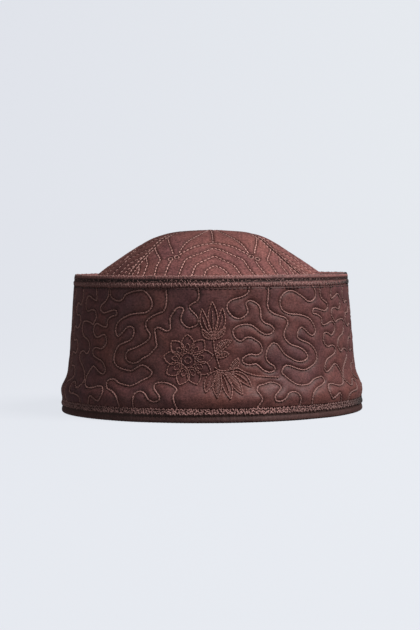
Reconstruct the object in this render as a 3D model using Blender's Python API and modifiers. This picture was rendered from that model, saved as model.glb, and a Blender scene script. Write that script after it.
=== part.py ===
"""Quilted cloth dervish cap: a tall coned band with a rolled top edge and a rolled hem,
and a low crown of four gores sewn inside the band.

Metres, +Z up. The front of the cap faces -Y. The origin is at the middle of the circle
that the cap stands on.
"""

import math
from collections import namedtuple

import bmesh
import bpy

MM = 0.001

# Driving dimensions of the whole cap
SEGMENTS = 64
SEAM_GAP = 0.3 * MM
CAP_HEIGHT = 110.2 * MM
BAND_TOP = 83.2 * MM

# The band's outside: a straight cone from the rim down, which flares out above the hem
RIM_RADIUS = 83.5 * MM
CONE_SLOPE = 0.080
FLARE = 2.3 * MM
FLARE_START = 28.0 * MM
FLARE_END = 14.0 * MM
BAND_WALL = 3.2 * MM
CONE_STATIONS = 5
FLARE_STATIONS = 5

# The rolled edge on top of the band
TOP_EDGE_HEIGHT = 6.2 * MM
TOP_EDGE_WIDTH = 4.0 * MM
TOP_EDGE_ROUND = 1.9 * MM
TOP_EDGE_FOOT_ROUND = 0.5 * MM

# The rolled hem under the band, with a narrow flat that the cap stands on
HEM_RADIUS = 92.4 * MM
HEM_WIDTH = 4.8 * MM
HEM_HEIGHT = 8.0 * MM
HEM_SHOULDER_ROUND = 0.6 * MM
HEM_FOOT_ROUND = 1.6 * MM
ROUND_STEPS = 3

# The crown: four gores meet in ridges on the diagonals, so a section across it is a
# rounded square near the top and a circle where it is sewn to the band
CROWN_WALL = 2.0 * MM
GORES = 4
SEAM_TURN_HEIGHT = 75.4 * MM
SEAM_END_HEIGHT = 66.0 * MM
SEAM_STATIONS = 3

CrownRow = namedtuple("CrownRow", "radius height ridge")
# radius and height: the middle of a gore. ridge: how much higher the diagonal is there.
CROWN_ROWS = (
    CrownRow(10.0 * MM, 110.0 * MM, 0.0 * MM),
    CrownRow(20.0 * MM, 109.1 * MM, 0.3 * MM),
    CrownRow(28.0 * MM, 107.3 * MM, 1.1 * MM),
    CrownRow(35.0 * MM, 104.4 * MM, 2.9 * MM),
    CrownRow(41.5 * MM, 101.1 * MM, 4.1 * MM),
    CrownRow(50.0 * MM, 96.1 * MM, 3.3 * MM),
    CrownRow(60.0 * MM, 89.5 * MM, 2.9 * MM),
    CrownRow(69.0 * MM, 83.2 * MM, 2.1 * MM),
    CrownRow(75.5 * MM, 78.9 * MM, 0.8 * MM),
    CrownRow(78.8 * MM, 76.9 * MM, 0.0 * MM),
)

ClothLook = namedtuple("ClothLook", "red green blue roughness")
CROWN_CLOTH = ClothLook(0.135, 0.062, 0.058, 0.62)
BAND_CLOTH = ClothLook(0.105, 0.047, 0.045, 0.62)
EDGE_CLOTH = ClothLook(0.085, 0.038, 0.035, 0.75)
HEM_CLOTH = ClothLook(0.070, 0.030, 0.027, 0.78)


def clear_scene():
    """Removes every object that the scene starts with."""
    for thing in list(bpy.data.objects):
        bpy.data.objects.remove(thing, do_unlink=True)


def cloth_material(name, look):
    """A plain woven cloth."""
    material = bpy.data.materials.new(name)
    material.use_nodes = True
    shader = material.node_tree.nodes["Principled BSDF"]
    shader.inputs["Base Color"].default_value = (look.red, look.green, look.blue, 1.0)
    shader.inputs["Roughness"].default_value = look.roughness
    shader.inputs["Metallic"].default_value = 0.0
    return material


def smooth_step(share):
    """0 below 0, 1 above 1, and an even S between."""
    held = min(max(share, 0.0), 1.0)
    return held * held * (3.0 - 2.0 * held)


def band_radius(height):
    """The band's outer radius: the cone's, plus the flare above the hem."""
    cone = RIM_RADIUS + CONE_SLOPE * (BAND_TOP - height)
    flare = smooth_step((FLARE_START - height) / (FLARE_START - FLARE_END))
    return cone + FLARE * flare


def spread(first, last, count):
    """count numbers from first to last, evenly apart."""
    return [first + (last - first) * step / (count - 1) for step in range(count)]


def band_heights():
    """Heights of the band's stations from the top down, closest in the flare."""
    top = BAND_TOP - TOP_EDGE_HEIGHT - SEAM_GAP
    foot = HEM_HEIGHT + SEAM_GAP
    heights = spread(top, FLARE_START, CONE_STATIONS)
    heights += spread(FLARE_START, FLARE_END, FLARE_STATIONS)[1:]
    heights.append(foot)
    return heights


def rounded_section(inner, outer, low, high, top_round, foot_round):
    """A closed section for a ring, as (radius, height) points.

    It runs down its outer side and back up the inner one, with each corner a quarter arc.
    """
    corners = (
        (outer - top_round, high - top_round, top_round, 90.0),
        (outer - foot_round, low + foot_round, foot_round, 0.0),
        (inner + foot_round, low + foot_round, foot_round, -90.0),
        (inner + top_round, high - top_round, top_round, -180.0),
    )
    points = []
    for middle_radius, middle_height, size, start in corners:
        for step in range(ROUND_STEPS + 1):
            angle = math.radians(start - 90.0 * step / ROUND_STEPS)
            radius = middle_radius + size * math.cos(angle)
            height = middle_height + size * math.sin(angle)
            points.append((radius, height))
    return points


def turned(name, profile, closed, collection, material):
    """A profile in the XZ plane, turned once round Z with a Screw modifier."""
    count = len(profile)
    edges = [(step, step + 1) for step in range(count - 1)]
    if closed:
        edges.append((count - 1, 0))
    mesh = bpy.data.meshes.new(name)
    mesh.from_pydata([(radius, 0.0, height) for radius, height in profile], edges, [])
    mesh.materials.append(material)
    piece = bpy.data.objects.new(name, mesh)
    collection.objects.link(piece)
    screw = piece.modifiers.new("turn", "SCREW")
    screw.axis = "Z"
    screw.angle = 2.0 * math.pi
    screw.steps = SEGMENTS
    screw.render_steps = SEGMENTS
    screw.use_merge_vertices = True
    screw.merge_threshold = 0.00001
    screw.use_smooth_shade = True
    return piece


def thicken(piece, wall):
    """Gives an open cloth surface its thickness, on the inside."""
    shell = piece.modifiers.new("cloth", "SOLIDIFY")
    shell.thickness = wall
    shell.offset = -1.0
    shell.use_even_offset = True
    shell.use_rim = True


def crown_ring(row):
    """One section of the crown: a circle that rises towards the diagonals."""
    points = []
    for step in range(SEGMENTS):
        angle = 2.0 * math.pi * step / SEGMENTS
        lift = row.ridge * (1.0 - math.cos(GORES * angle)) / 2.0
        points.append(
            (row.radius * math.cos(angle), row.radius * math.sin(angle), row.height + lift)
        )
    return points


def seam_rows():
    """The crown's seam allowance, turned down along the inside of the band."""
    rows = []
    for height in spread(SEAM_TURN_HEIGHT, SEAM_END_HEIGHT, SEAM_STATIONS):
        rows.append(CrownRow(band_radius(height) - BAND_WALL - SEAM_GAP, height, 0.0))
    return rows


def make_crown(collection, material):
    """Lofts the crown through its sections, from the apex down to the seam."""
    mesh = bpy.data.meshes.new("crown")
    build = bmesh.new()
    apex = build.verts.new((0.0, 0.0, CAP_HEIGHT))
    rings = []
    for row in list(CROWN_ROWS) + seam_rows():
        rings.append([build.verts.new(point) for point in crown_ring(row)])
    for step in range(SEGMENTS):
        after = (step + 1) % SEGMENTS
        build.faces.new((apex, rings[0][step], rings[0][after]))
        for upper, lower in zip(rings, rings[1:]):
            build.faces.new((upper[step], lower[step], lower[after], upper[after]))
    build.to_mesh(mesh)
    build.free()
    mesh.shade_smooth()
    mesh.materials.append(material)
    crown = bpy.data.objects.new("crown", mesh)
    collection.objects.link(crown)
    thicken(crown, CROWN_WALL)
    return crown


def make_band(collection, material):
    """The coned side wall, which flares out above the hem."""
    profile = [(band_radius(height), height) for height in band_heights()]
    band = turned("band", profile, False, collection, material)
    thicken(band, BAND_WALL)
    return band


def make_top_edge(collection, material):
    """The rolled edge along the top of the band."""
    outer = band_radius(BAND_TOP - TOP_EDGE_HEIGHT)
    section = rounded_section(
        outer - TOP_EDGE_WIDTH,
        outer,
        BAND_TOP - TOP_EDGE_HEIGHT,
        BAND_TOP,
        TOP_EDGE_ROUND,
        TOP_EDGE_FOOT_ROUND,
    )
    return turned("top_edge", section, True, collection, material)


def make_bottom_hem(collection, material):
    """The rolled hem, whose flat foot the cap stands on."""
    section = rounded_section(
        HEM_RADIUS - HEM_WIDTH,
        HEM_RADIUS,
        0.0,
        HEM_HEIGHT,
        HEM_SHOULDER_ROUND,
        HEM_FOOT_ROUND,
    )
    return turned("bottom_hem", section, True, collection, material)


def main():
    """Builds the four pieces in a collection of their own."""
    clear_scene()
    cap = bpy.data.collections.new("dervish_cap")
    bpy.context.scene.collection.children.link(cap)
    make_crown(cap, cloth_material("crown_cloth", CROWN_CLOTH))
    make_band(cap, cloth_material("band_cloth", BAND_CLOTH))
    make_top_edge(cap, cloth_material("edge_cloth", EDGE_CLOTH))
    make_bottom_hem(cap, cloth_material("hem_cloth", HEM_CLOTH))


main()
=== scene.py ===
"""The looks of a quilted dervish cap: padded satin, cord quilting, rolled edges and embroidery.

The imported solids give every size. Lengths here are millimetres until a mesh is made, when they
become metres. The cap stands on its hem at Z = 0 and its front faces -Y.

On the band a point is (along, height): along is the arc from the middle of the front at
TILE_RADIUS, to the right as seen from the front. On the crown a point is (across, out): the cloth
spread flat round its apex, with out towards the front.
"""

import logging
import math
from dataclasses import dataclass, field
from enum import Enum

import bpy
import numpy as np
from mathutils import Matrix, Vector


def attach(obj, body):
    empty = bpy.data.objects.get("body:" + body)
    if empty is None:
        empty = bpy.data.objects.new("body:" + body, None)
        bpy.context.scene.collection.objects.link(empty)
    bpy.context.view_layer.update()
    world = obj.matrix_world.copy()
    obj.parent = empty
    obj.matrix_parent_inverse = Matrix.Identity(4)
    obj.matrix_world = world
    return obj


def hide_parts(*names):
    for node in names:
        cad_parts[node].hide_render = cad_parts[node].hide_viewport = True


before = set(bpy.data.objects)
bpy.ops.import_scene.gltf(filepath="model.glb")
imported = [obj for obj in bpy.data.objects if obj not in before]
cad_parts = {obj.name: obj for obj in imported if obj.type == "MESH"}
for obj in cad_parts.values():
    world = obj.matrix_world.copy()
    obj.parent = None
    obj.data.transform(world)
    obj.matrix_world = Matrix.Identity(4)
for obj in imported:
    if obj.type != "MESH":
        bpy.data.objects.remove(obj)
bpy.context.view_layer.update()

BODY = "root"
MM = 0.001
LOG = logging.getLogger("dervish_cap")

Array = np.ndarray
Mesh = tuple[np.ndarray, np.ndarray]
Piece = bpy.types.Object
Points = list[tuple[float, float]]

# The radius at which the band's pattern was laid out, and its full turn
TILE_RADIUS = 87.0
TILE_TURN = 2.0 * math.pi * TILE_RADIUS
# The band's pattern is nearly the same left and right of this line
MIRROR_LINE = 3.0
# The band's map of stitches: its top, which is also twice its middle height, and its columns
MAP_TOP = 85.0
MAP_COLUMNS = 1094
# Distances between the points of a charted line, in the quilting and in the embroidery
CHART_STEP = 0.5
SPRAY_STEP = 0.4
# Corners round a thread, and rings along a stitch
THREAD_SIDES = 6
STITCH_RINGS = 5
# Points along a leaf's edge, and its satin stitches' pitch and share of its width
LEAF_POINTS = 40
SATIN_PITCH = 0.85
SATIN_WIDTH = 0.82
# Unevenness: how many waves it sums, what brings the sum near 1, and the radius of the ring
# in space on which it is read round the cap
WAVES = 12
WAVE_SUM = 5.0
WAVE_RING = 60.0

# Quilting of the band, as charted lines: each route is one wandering line of cord
FRONT_ROUTES: tuple[Points, ...] = (
    [
        (23, 77), (21.5, 73), (17.5, 71), (13.5, 70), (10.5, 68.5), (9, 65.5), (10.5, 62), (13.5, 59.5),
        (17, 59), (20, 60.5), (21.5, 62.5), (21, 65.5), (20.5, 67.5), (23, 69), (26, 68), (28.5, 66),
        (29.5, 63), (29.5, 59), (32, 56), (35, 55), (37.5, 52.5), (36.5, 50.5), (32.5, 49.5), (29, 51),
        (26.5, 53), (23.5, 55), (19, 55.5), (15, 54.5), (12.5, 52.5), (12.5, 50), (14, 47.5), (17, 46),
        (20, 48), (23, 48), (26, 46.5), (28.5, 44.5), (29.5, 41.5), (28.5, 39), (26, 38), (22.5, 38.5),
        (19.5, 37.5), (17.5, 35.5), (18.5, 33.5), (22, 32.5), (25.5, 33), (28, 31), (30.5, 29), (34, 28),
        (37, 29), (37, 31), (34, 33), (32, 35), (31.5, 37.5), (32.5, 40.5), (34.5, 43), (36.5, 44.5),
        (39, 44), (41.5, 41), (44.5, 37.5), (48, 35.5), (52.5, 33.5), (57, 33.5), (60, 35), (60, 37.5),
        (57.5, 40), (53, 42), (48.5, 43.5), (45, 46.5), (44, 49.5), (45.5, 53), (47, 56), (45.5, 58.5),
        (41.5, 60), (37.5, 61.5), (35, 63.5), (34, 66.5), (34.5, 71), (35, 77),
    ],
    [
        (68, 77), (70.5, 73), (70, 70), (67, 68), (63, 68), (60, 70), (56.5, 72), (52, 74), (48, 74),
        (45, 72.5), (42.5, 69.5), (42.5, 66), (44, 63), (48.5, 61), (54, 60.5), (59.5, 59.5), (64, 57.5),
        (67, 54), (68, 50.5), (66, 48), (62.5, 49), (59.5, 51.5), (57, 53), (54.5, 51), (53.5, 47.5),
        (56.5, 45.5), (61, 44), (64.5, 42), (67, 39), (68, 35.5), (66, 32), (62.5, 30), (58, 28.5),
        (53.5, 29), (49, 30.5), (45, 31.5), (42.5, 30), (41.5, 27.5), (44, 25), (47, 22.5), (50.5, 20.5),
        (55, 20), (59, 20.5), (64, 23), (69.5, 24), (71, 24), (72.5, 21.5), (69.5, 19.5), (65, 18),
        (61, 15.5), (59.5, 13), (59, 8),
    ],
    [
        (24.5, 8), (27.5, 13), (26.5, 15.5), (25, 18), (26, 20.5), (29.5, 21.5), (33.5, 22.5), (37.5, 21.5),
        (39.5, 19.5), (37.5, 17), (35, 14.5), (35.5, 12), (38.5, 11.5), (41.5, 13), (43.5, 15.5),
        (46.5, 16.5), (49.5, 15.5), (51, 13), (50.5, 8),
    ],
    [
        (-27.5, 77), (-27, 70), (-27.5, 65.5), (-29, 63), (-32, 62), (-35.5, 60.5), (-38.5, 58.5),
        (-40, 56), (-39, 53), (-37, 50.5), (-37, 48.5), (-39, 46), (-42.5, 44), (-47, 42), (-51, 40.5),
        (-53, 38), (-52, 35), (-48.5, 33.5), (-44.5, 34), (-41.5, 36), (-37.5, 38), (-34.5, 41),
        (-32.5, 43.5), (-33, 46.5), (-33.5, 50), (-34, 52.5), (-32, 54), (-29, 53), (-26.5, 52),
        (-24.5, 53), (-24.5, 56), (-24.5, 59.5), (-22.5, 62.5), (-20.5, 65), (-18, 65.5), (-16.5, 64.5),
        (-17.5, 61.5), (-18, 58.5), (-16.5, 56), (-13.5, 54), (-10.5, 54.5), (-8, 56), (-8, 59.5),
        (-10, 62), (-12.5, 64.5), (-13, 66), (-11.5, 67.5), (-8.5, 69), (-7.5, 71), (-7.5, 74), (-8, 77),
    ],
    [
        (-67.5, 77), (-67, 72), (-63, 69.5), (-59, 69), (-57, 70), (-55, 72.5), (-51.5, 74), (-47, 75),
        (-42, 75), (-39, 73), (-37, 70.5), (-36, 67.5), (-37, 64.5), (-40, 62.5), (-45, 62), (-49.5, 61.5),
        (-54, 60), (-58, 58), (-60.5, 55.5), (-61.5, 52), (-59.5, 48.5), (-57, 50), (-53, 53.5),
        (-50.5, 54.5), (-48, 53), (-48, 49.5), (-49.5, 47), (-54, 45), (-58, 43.5), (-60.5, 40.5),
        (-62, 36.5), (-60.5, 32.5), (-57, 30.5), (-53, 29.5), (-48.5, 29), (-45, 31), (-41, 32.5),
        (-37, 30.5), (-35, 28.5), (-36.5, 26), (-38.5, 25), (-41.5, 23.5), (-45, 21.5), (-48.5, 20.5),
        (-52, 21), (-56.5, 22), (-61, 24), (-65.5, 22.5), (-65, 19), (-60, 17), (-56, 14), (-54, 8),
    ],
    [
        (-45, 8), (-44.5, 15), (-43, 17), (-40, 17.5), (-37.5, 16), (-35, 13), (-32, 12), (-29, 13),
        (-29, 15), (-31.5, 18), (-33, 20), (-32.5, 22), (-29, 23), (-25, 22.5), (-21.5, 21), (-19.5, 19),
        (-21, 16), (-21, 13.5), (-19, 8),
    ],
)
# These routes come again on the left, turned over at the mirror line
SIDE_ROUTES: tuple[Points, ...] = (
    [
        (75, 77), (75, 71.5), (77.5, 68.5), (81.5, 66), (82, 64), (79.5, 62), (75, 62.5), (70.5, 63.5),
        (68, 63.5), (67, 61), (71, 60), (74, 58.5), (75, 57), (75, 54), (79, 54), (84.5, 55.5),
        (87.5, 54.5), (88.5, 52), (86.5, 48.5), (83.5, 47.5), (79.5, 49), (76.5, 49), (75, 46),
        (75.5, 43.5), (79, 41), (84.5, 41.5), (87.5, 39.5), (86.5, 37), (81.5, 35), (77.5, 33.5),
        (75, 30.5), (74.5, 28), (76, 26.5), (80, 27.5), (85.5, 30.5), (89, 28.5), (92, 25), (92.5, 21.5),
        (89.5, 18.5), (85, 18), (81, 18.5), (77.5, 19.5), (74.5, 19), (73, 16), (74, 13), (76, 11),
        (79.5, 12), (83, 13.5), (86, 8),
    ],
    [
        (87.5, 77), (86.5, 71.5), (86.5, 69), (91, 70), (96, 71.5), (99, 69.5), (99.5, 66.5), (98.5, 63.5),
        (95.5, 62.5), (91, 63.5), (87, 62.5), (86, 59), (87.5, 57), (89.5, 55), (93, 56), (99.5, 56.5),
        (102, 55.5), (102.5, 51.5), (100, 48), (94.5, 46), (91.5, 43.5), (91, 40.5), (94, 37.5), (99, 39),
        (104.5, 36.5), (103.5, 33.5), (98.5, 29.5), (95.5, 26), (94, 21.5), (96, 19), (99.5, 17),
        (106, 20.5), (110.5, 18), (108, 14), (101, 13.5), (95, 12), (94, 8),
    ],
    [
        (105, 77), (104.5, 70), (108, 66), (113, 67), (117, 64), (114, 60), (108, 59.5), (106.5, 55),
        (111, 52), (117, 53), (120.5, 49), (117, 44.5), (111, 45), (108.5, 41), (112, 37), (118, 37.5),
        (122, 34), (119, 29.5), (112.5, 29), (110.5, 24), (116, 21), (121.5, 19), (119, 14), (116.5, 8),
    ],
    [
        (124, 77), (123, 71.5), (127, 69), (132, 70.5), (134, 66), (129, 62.5), (124, 60), (127, 56.5),
        (133, 57), (136.5, 52), (132, 48.5), (127, 46), (129.5, 41), (135, 40.5), (138, 36), (133.5, 32),
        (128.5, 29), (130, 24.5), (135.5, 22), (134, 16.5), (128, 14), (127, 8),
    ],
)
# At the back no ornament is sewn, and one more wandering line fills its place
BACK_ROUTES: tuple[Points, ...] = (
    [
        (2, 77), (2.5, 70), (-1, 65.5), (-3, 60), (1, 56), (6, 52), (5.5, 46.5), (0, 45), (-6, 47.5),
        (-11, 49.5), (-17, 49), (-21, 45), (-25.5, 41), (-25, 36), (-19.5, 35), (-14, 38.5), (-8.5, 39.5),
        (-4, 36.5), (-6, 32), (-12, 30.5), (-18.5, 29), (-23, 31), (-27, 29), (-26, 26.5), (-19, 26),
        (-11, 26), (-7, 22.5), (-11, 19), (-12, 14), (-10.5, 8),
    ],
    [
        (0.5, 8), (-1, 14), (1, 19), (-1.5, 24), (1.5, 28.5), (7.5, 30), (11, 26), (16.5, 25.5), (19.5, 21),
        (17.5, 16), (19.5, 12), (18.5, 8),
    ],
    [
        (5, 41.5), (1.5, 38), (3, 34.5), (8.5, 35), (12, 39), (9.5, 42.5), (5, 41.5),
    ],
)
# The crown is sewn from four gores and quilted in eight panels
GORES = 4
PANELS = 8
# Degrees that the star is turned to the right, and that its wider panels are spread
PANEL_TURN = 2.6
PANEL_SPREAD = 2.4
# Sewing draws the cloth in, and the star's middle lies a little right of the crown's apex
TAKE_UP = 0.97
STAR_SHIFT = 1.15
# Where two small rings of thread lie on each side of a panel on a gore's middle
EYELETS: Points = [(21.8, 56.3), (25.9, 57.9)]
VALLEY_LINE: Points = [(24.4, 60.6), (28.8, 70.9), (33.2, 80.5)]
SEAM_LINE: Points = [(0, 36), (0, 87)]


@dataclass(frozen=True)
class PanelChart:
    """Quilting of one of the crown's eight panels, charted on its right half.

    Fields:
        centre: the line down the panel's middle.
        curves: the bowed lines of the star's petal and of its outer edge.
        chevrons: the lines nested outside the star, each with sharp bends.
    """

    centre: Points
    curves: tuple[Points, ...]
    chevrons: tuple[Points, ...]


# The panels on the gores' middles, whose petals reach the apex
GORE_PANEL = PanelChart(
    [(0, 3), (0, 41)],
    (
        [(1.2, 6), (3.4, 19.6), (5.8, 25.5), (8.8, 31.4), (13.7, 39.1), (17.2, 45.6), (20.2, 52.6)],
        [(0, 41), (4.8, 42.9), (9.6, 46), (14.7, 50.3), (20.3, 54.6)],
    ),
    (
        [(0, 47.2), (7.1, 53.4), (13, 57.8), (16.4, 60.1), (18.4, 66), (20.8, 72.4), (25, 82.5)],
        [(0, 57), (5.3, 61.6), (10, 65.4), (11.8, 69.4), (13.3, 74.2), (16, 82), (17, 86)],
        [(0, 66.6), (4.9, 71.4), (6.2, 75), (7.5, 80), (8.5, 86.5)],
    ),
)
# The panels on the seams, where the star's edge starts at a corner of the crown's flat top
SEAM_PANEL = PanelChart(
    [(0, 3), (0, 38)],
    ([(0.5, 40), (5, 43.8), (10.2, 47.7), (15, 50.7), (20.3, 54.4)],),
    (
        [(2, 54.8), (8, 58.6), (16.7, 63.1), (18.2, 68.6), (21.4, 74.1), (25, 82.5)],
        [(2, 64), (9.5, 69.8), (12.5, 76.8), (15, 84.5)],
        [(2, 72.4), (5, 74.6), (6.8, 78), (8.5, 86)],
    ),
)


@dataclass(frozen=True)
class CapSizes:
    """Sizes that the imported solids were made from, in millimetres."""

    band_top: float = 83.2
    rim_radius: float = 83.5
    cone_slope: float = 0.080
    flare: float = 2.3
    flare_start: float = 28.0
    flare_end: float = 14.0
    band_wall: float = 3.2
    band_low: float = 8.3
    band_high: float = 76.7
    crown_wall: float = 2.0
    seam_gap: float = 0.3
    seam_heights: tuple[float, ...] = (75.4, 70.7, 66.0)
    crown_radii: tuple[float, ...] = (0.0, 10.0, 20.0, 28.0, 35.0, 41.5, 50.0, 60.0, 69.0, 75.5, 78.8)
    crown_heights: tuple[float, ...] = (
        110.2, 110.0, 109.1, 107.3, 104.4, 101.1, 96.1, 89.5, 83.2, 78.9, 76.9,
    )
    crown_ridges: tuple[float, ...] = (0.0, 0.0, 0.3, 1.1, 2.9, 4.1, 3.3, 2.9, 2.1, 0.8, 0.0)


SIZES = CapSizes()


def smooth_step(share: Array) -> Array:
    """0 below 0, 1 above 1, and an even S between."""
    held = np.clip(share, 0.0, 1.0)
    return held * held * (3.0 - 2.0 * held)


def bell(away: Array, width: float) -> Array:
    """1 where away is 0, falling as a bell that is width wide."""
    return np.exp(-((away / width) ** 2))


def unit(vectors: Array) -> Array:
    """The vectors at length one."""
    return vectors / np.maximum(np.linalg.norm(vectors, axis=-1, keepdims=True), 1e-9)


def band_radius(height: Array) -> Array:
    """The band's outer radius: the cone's, plus the flare above the hem."""
    cone = SIZES.rim_radius + SIZES.cone_slope * (SIZES.band_top - height)
    share = (SIZES.flare_start - height) / (SIZES.flare_start - SIZES.flare_end)
    return cone + SIZES.flare * smooth_step(share)


def eased(at: Array, knots: Array, values: Array) -> Array:
    """A smooth curve through values at rising knots, read at any places.

    Each span is a cubic with the slope at a knot taken from its two neighbours.

    Args:
        at: the places.
        knots: rising places of the values.
        values: the curve there.

    Returns:
        One value for each place.
    """
    slopes = np.gradient(values, knots)
    span = np.clip(np.searchsorted(knots, at, side="right") - 1, 0, len(knots) - 2)
    width = knots[span + 1] - knots[span]
    share = np.clip((at - knots[span]) / width, 0.0, 1.0)
    square = share * share
    cube = square * share
    start = (2.0 * cube - 3.0 * square + 1.0) * values[span]
    start_slope = (cube - 2.0 * square + share) * width * slopes[span]
    end = (3.0 * square - 2.0 * cube) * values[span + 1]
    return start + start_slope + end + (cube - square) * width * slopes[span + 1]


def reaches(line: Array) -> Array:
    """How far along the line each of its points is."""
    return np.concatenate(([0.0], np.cumsum(np.linalg.norm(np.diff(line, axis=0), axis=1))))


def points_at(line: Array, at: Array) -> Array:
    """The line's points at distances along it."""
    reach = reaches(line)
    return np.stack([np.interp(at, reach, line[:, 0]), np.interp(at, reach, line[:, 1])], axis=1)


def evenly(line: Array, step: float) -> Array:
    """The same line with its points about step apart, and its ends kept.

    Args:
        line: (n, 2) points.
        step: wanted distance between points.

    Returns:
        An (m, 2) array.
    """
    length = reaches(line)[-1]
    return points_at(line, np.linspace(0.0, length, max(int(round(length / step)), 2) + 1))


def flowing(points: Points, step: float = CHART_STEP) -> Array:
    """A smooth line through charted points, as evenly spaced points.

    A cubic curve is run through the chart, its knots the roots of the chords' lengths apart,
    and is then cut into equal steps.

    Args:
        points: the chart, in millimetres.
        step: wanted distance between points.

    Returns:
        An (n, 2) array.
    """
    chart = np.array(points, float)
    chords = np.linalg.norm(np.diff(chart, axis=0), axis=1)
    knots = np.concatenate(([0.0], np.cumsum(np.sqrt(np.maximum(chords, 1e-6)))))
    fine = np.linspace(0.0, knots[-1], len(points) * 16)
    return evenly(np.stack([eased(fine, knots, chart[:, axis]) for axis in (0, 1)], axis=1), step)


class Surface:
    """A cloth surface as a function of two flat coordinates."""

    outward = 1.0

    def place(self, first: Array, second: Array) -> Array:
        """Points of the bare surface, (..., 3)."""
        raise NotImplementedError

    def normal(self, first: Array, second: Array) -> Array:
        """Outward unit normals: the cross product of the surface's two small steps."""
        reach = 0.25
        over = self.place(first + reach, second) - self.place(first - reach, second)
        up = self.place(first, second + reach) - self.place(first, second - reach)
        return unit(np.cross(over, up)) * self.outward

    def lifted(self, first: Array, second: Array, lift: Array) -> Array:
        """Points that stand lift away from the bare surface, along its normals."""
        return self.place(first, second) + self.normal(first, second) * lift[..., None]


class BandSurface(Surface):
    """The outside of the band, in (along, height)."""

    def place(self, first: Array, second: Array) -> Array:
        """A turned surface: the radius at a height, swung round by along over TILE_RADIUS."""
        angle = first / TILE_RADIUS
        radius = band_radius(second)
        return np.stack([radius * np.sin(angle), -radius * np.cos(angle), second], axis=-1)


class CrownSurface(Surface):
    """The outside of the crown, in (across, out) from its apex."""

    outward = -1.0
    lean = -1.6
    lean_reach = 66.0

    def __init__(self) -> None:
        """Works out the cloth's length from the apex to each section."""
        ends = np.array(SIZES.seam_heights)
        self.radii = np.append(SIZES.crown_radii, band_radius(ends) - SIZES.band_wall - SIZES.seam_gap)
        self.heights = np.append(SIZES.crown_heights, ends)
        self.ridges = np.append(SIZES.crown_ridges, np.zeros(len(ends)))
        self.knots = reaches(np.stack([self.radii, self.heights + self.ridges / 2.0], axis=1))
        self.length = float(self.knots[-1])

    def place(self, first: Array, second: Array) -> Array:
        """Radius and height at the cloth's length from the apex, with four ridges added.

        A ridge's share at an angle is half of one less the cosine of four times the angle.
        The crown leans a little to the left, most at the apex and not at all at its seam.
        """
        reach = np.hypot(first, second)
        angle = np.arctan2(first, second)
        radius = eased(reach, self.knots, self.radii)
        share = (1.0 - np.cos(GORES * (angle - math.radians(PANEL_TURN)))) / 2.0
        height = eased(reach, self.knots, self.heights) + eased(reach, self.knots, self.ridges) * share
        lean = self.lean * (1.0 - smooth_step((reach - self.lean_reach) / 22.0))
        return np.stack([radius * np.sin(angle) + lean, -radius * np.cos(angle), height], axis=-1)


@dataclass
class StitchMap:
    """How far each place of the flat cloth is from the nearest line of sewing.

    Fields:
        low, high: corners of the map, in flat coordinates.
        around: whether the first coordinate comes round again at the map's ends.
        cell: size of a cell.
        reach: distances past this stay at this.
    """

    low: tuple[float, float]
    high: tuple[float, float]
    around: bool
    cell: float
    reach: float
    near: Array = field(init=False)

    def __post_init__(self) -> None:
        """Starts with no sewing anywhere."""
        self.columns = int(round((self.high[0] - self.low[0]) / self.cell))
        self.rows = int(round((self.high[1] - self.low[1]) / self.cell)) + 1
        self.near = np.full((self.columns + (not self.around), self.rows), self.reach)

    def sew(self, line: Array, weight: float = 1.0) -> None:
        """Marks a line: each cell near it keeps its least distance to the line's pieces.

        The distance is to the short straight piece that has a point of the line at its middle.

        Args:
            line: evenly spaced (n, 2) points.
            weight: under 1 for sewing that pulls the cloth in less.
        """
        run = unit(np.gradient(line, axis=0))[:, :, None, None]
        half = np.linalg.norm(line[1] - line[0]) / 2.0
        offsets = np.arange(-math.ceil(self.reach / self.cell), math.ceil(self.reach / self.cell) + 1)
        home = np.floor((line - np.array(self.low)) / self.cell).astype(int)[:, :, None, None]
        column, row = np.broadcast_arrays(home[:, 0] + offsets[:, None], home[:, 1] + offsets)
        over = column * self.cell + self.low[0] - line[:, 0, None, None]
        up = row * self.cell + self.low[1] - line[:, 1, None, None]
        along = np.clip(over * run[:, 0] + up * run[:, 1], -half, half)
        away = np.minimum(np.hypot(over - along * run[:, 0], up - along * run[:, 1]), self.reach)
        away = self.reach - (self.reach - away) * weight
        inside = (row >= 0) & (row < self.rows)
        if self.around:
            column = column % self.columns
        else:
            inside = inside & (column >= 0) & (column <= self.columns)
        np.minimum.at(self.near, (column[inside], row[inside]), away[inside])

    def read(self, first: Array, second: Array) -> Array:
        """Distances at any places, mixed from the four cells round each."""
        over = (first - self.low[0]) / self.cell
        up = np.clip((second - self.low[1]) / self.cell, 0.0, self.rows - 1.001)
        if not self.around:
            over = np.clip(over, 0.0, self.columns - 0.001)
        column, row = np.floor(over).astype(int), np.floor(up).astype(int)
        right, top = over - column, up - row
        column, after = column % len(self.near), (column + 1) % len(self.near)
        lower = self.near[column, row] * (1.0 - right) + self.near[after, row] * right
        upper = self.near[column, row + 1] * (1.0 - right) + self.near[after, row + 1] * right
        return lower * (1.0 - top) + upper * top


def puffed(near: Array, depth: float, width: float) -> Array:
    """Lift of padded cloth near its sewing: a quarter round that rises from the groove.

    Args:
        near: distance to the nearest line of sewing.
        depth: how deep the groove is.
        width: how far from the line the cloth is level again.

    Returns:
        The lift, 0 at width and beyond, and less than 0 nearer.
    """
    short = 1.0 - np.clip(near / width, 0.0, 1.0)
    return -depth * (1.0 - np.sqrt(np.maximum(1.0 - short**2, 0.0)))


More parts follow.
